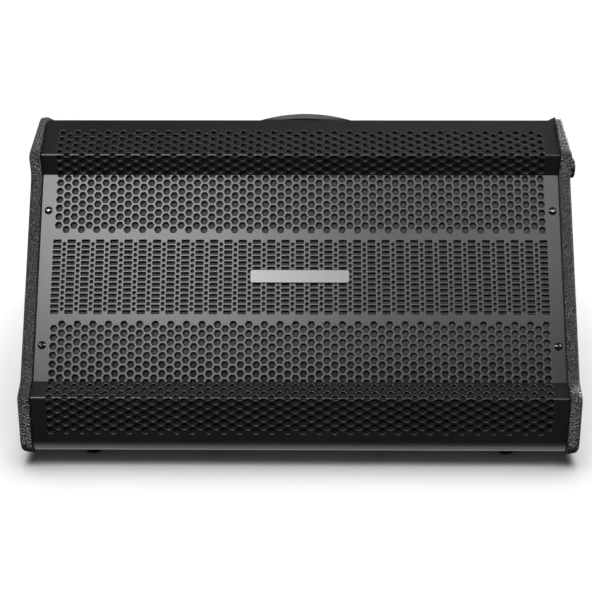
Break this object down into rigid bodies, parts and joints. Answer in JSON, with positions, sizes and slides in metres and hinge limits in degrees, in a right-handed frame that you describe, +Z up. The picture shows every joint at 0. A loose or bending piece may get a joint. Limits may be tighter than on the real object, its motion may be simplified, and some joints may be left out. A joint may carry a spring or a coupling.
{
  "type": "stage monitor wedge",
  "caption": "Low wedge-shaped stage monitor loudspeaker: folded perforated grille between moulded end caps, arched carry strap, side level knob and a recessed rear connector dish.",
  "frame": {"origin": "on the floor under the middle of the bounding box, 7.5 mm to the knob side of the cabinet's own middle", "axes": "+X across the width to the listener-facing front's right as seen from the front, +Y from the front towards the rear, +Z up"},
  "size_m": [0.6366, 0.473, 0.3153],
  "materials": {
    "board_painted": "textured black cabinet paint over plywood",
    "board_raw": "birch plywood, unpainted",
    "cap_plastic": "pebble-grained moulded black plastic",
    "lip_plastic": "satin black moulded strip",
    "grille_metal": "satin powder-coated perforated steel sheet",
    "grille_foam": "open-cell acoustic foam",
    "black_screws": "glossy black coated steel screws",
    "zinc_screws": "zinc-plated steel",
    "nameplate_metal": "brushed, plain, no lettering",
    "foot_rubber": "matt black rubber",
    "basket_paint": "satin black pressed steel",
    "ferrite": "dark sintered ferrite",
    "yoke_steel": "zinc-plated soft iron",
    "cone_paper": "pressed black paper pulp",
    "coil_former": "aluminium former with copper winding",
    "surround_rubber": "half-roll rubber",
    "spider_cloth": "resin-treated cotton",
    "horn_plastic": "moulded black plastic",
    "driver_metal": "satin black die casting",
    "circuit_board": "green glass-fibre board",
    "coil_copper": "enamelled copper winding",
    "capacitor_film": "film capacitors",
    "resistor_ceramic": "cast ceramic resistors",
    "wadding": "loose polyester wadding",
    "dish_plastic": "moulded black plastic",
    "socket_plastic": "moulded dark plastic socket",
    "switch_plastic": "grey moulded lever",
    "strap_rubber": "ribbed black rubber over a steel band",
    "cover_plastic": "moulded black plastic",
    "knob_plastic": "moulded black plastic, fluted",
    "control_metal": "nickel-plated control body and bushing"
  },
  "bodies": {
    "cabinet": {"baffle_board": "board_raw", "bottom_panel": "board_painted", "brace": "board_raw", "compression_driver": "driver_metal", "connector_dish": "dish_plastic", "crossover_board": "circuit_board", "crossover_capacitors": "capacitor_film", "crossover_coils": "coil_copper", "crossover_posts": "circuit_board", "crossover_resistors": "resistor_ceramic", "damping_wadding": "wadding", "dish_screws": "black_screws", "end_cap_left": "cap_plastic", "end_cap_right": "cap_plastic", "foot_screws": "zinc_screws", "front_lip": "lip_plastic", "front_rail": "board_raw", "grille": "grille_metal", "grille_foam": "grille_foam", "grille_screws": "black_screws", "handle_covers": "cover_plastic", "handle_screws": "black_screws", "horn_flare": "horn_plastic", "horn_screws": "black_screws", "level_control": "control_metal", "lip_screws": "black_screws", "nameplate": "nameplate_metal", "port_tubes": "horn_plastic", "rear_panel": "board_painted", "rear_top_panel": "board_painted", "rubber_feet": "foot_rubber", "side_panel_left": "board_painted", "side_panel_right": "board_painted", "socket_input": "socket_plastic", "socket_link": "socket_plastic", "switch_bezel": "dish_plastic", "top_rail": "board_raw", "woofer_basket_left": "basket_paint", "woofer_basket_right": "basket_paint", "woofer_magnet_left": "ferrite", "woofer_magnet_right": "ferrite", "woofer_screws": "black_screws", "woofer_spider_left": "spider_cloth", "woofer_spider_right": "spider_cloth", "woofer_surround_left": "surround_rubber", "woofer_surround_right": "surround_rubber", "woofer_yoke_left": "yoke_steel", "woofer_yoke_right": "yoke_steel"},
    "cone_left": {"woofer_cone_left": "cone_paper", "dust_cap_left": "cone_paper", "voice_coil_left": "coil_former"},
    "cone_right": {"woofer_cone_right": "cone_paper", "dust_cap_right": "cone_paper", "voice_coil_right": "coil_former"},
    "level_knob": {"level_knob": "knob_plastic"},
    "handle_strap": {"handle_strap": "strap_rubber"},
    "mode_switch": {"mode_switch": "switch_plastic"}
  },
  "joints": [
    {"name": "cone_left_slide", "type": "slide", "parent": "cabinet", "child": "cone_left", "axis": [0, -0.7466, 0.6652], "range_m": [-0.003, 0.003], "stiffness_N_per_m": 2500, "deforming": ["woofer_surround_left", "woofer_spider_left"]},
    {"name": "cone_right_slide", "type": "slide", "parent": "cabinet", "child": "cone_right", "axis": [0, -0.7466, 0.6652], "range_m": [-0.003, 0.003], "stiffness_N_per_m": 2500, "deforming": ["woofer_surround_right", "woofer_spider_right"]},
    {"name": "level_knob_turn", "type": "hinge", "parent": "cabinet", "child": "level_knob", "pos_m": [0.3042, 0.0125, 0.252], "axis": [1, 0, 0], "range_deg": [-150, 150]},
    {"name": "handle_lift", "type": "slide", "parent": "cabinet", "child": "handle_strap", "axis": [0, 0.454, 0.891], "range_m": [0, 0.005], "stiffness_N_per_m": 400, "springref_m": -0.002},
    {"name": "mode_switch_slide", "type": "slide", "parent": "cabinet", "child": "mode_switch", "axis": [1, 0, 0], "range_m": [0, 0.0072]}
  ]
}
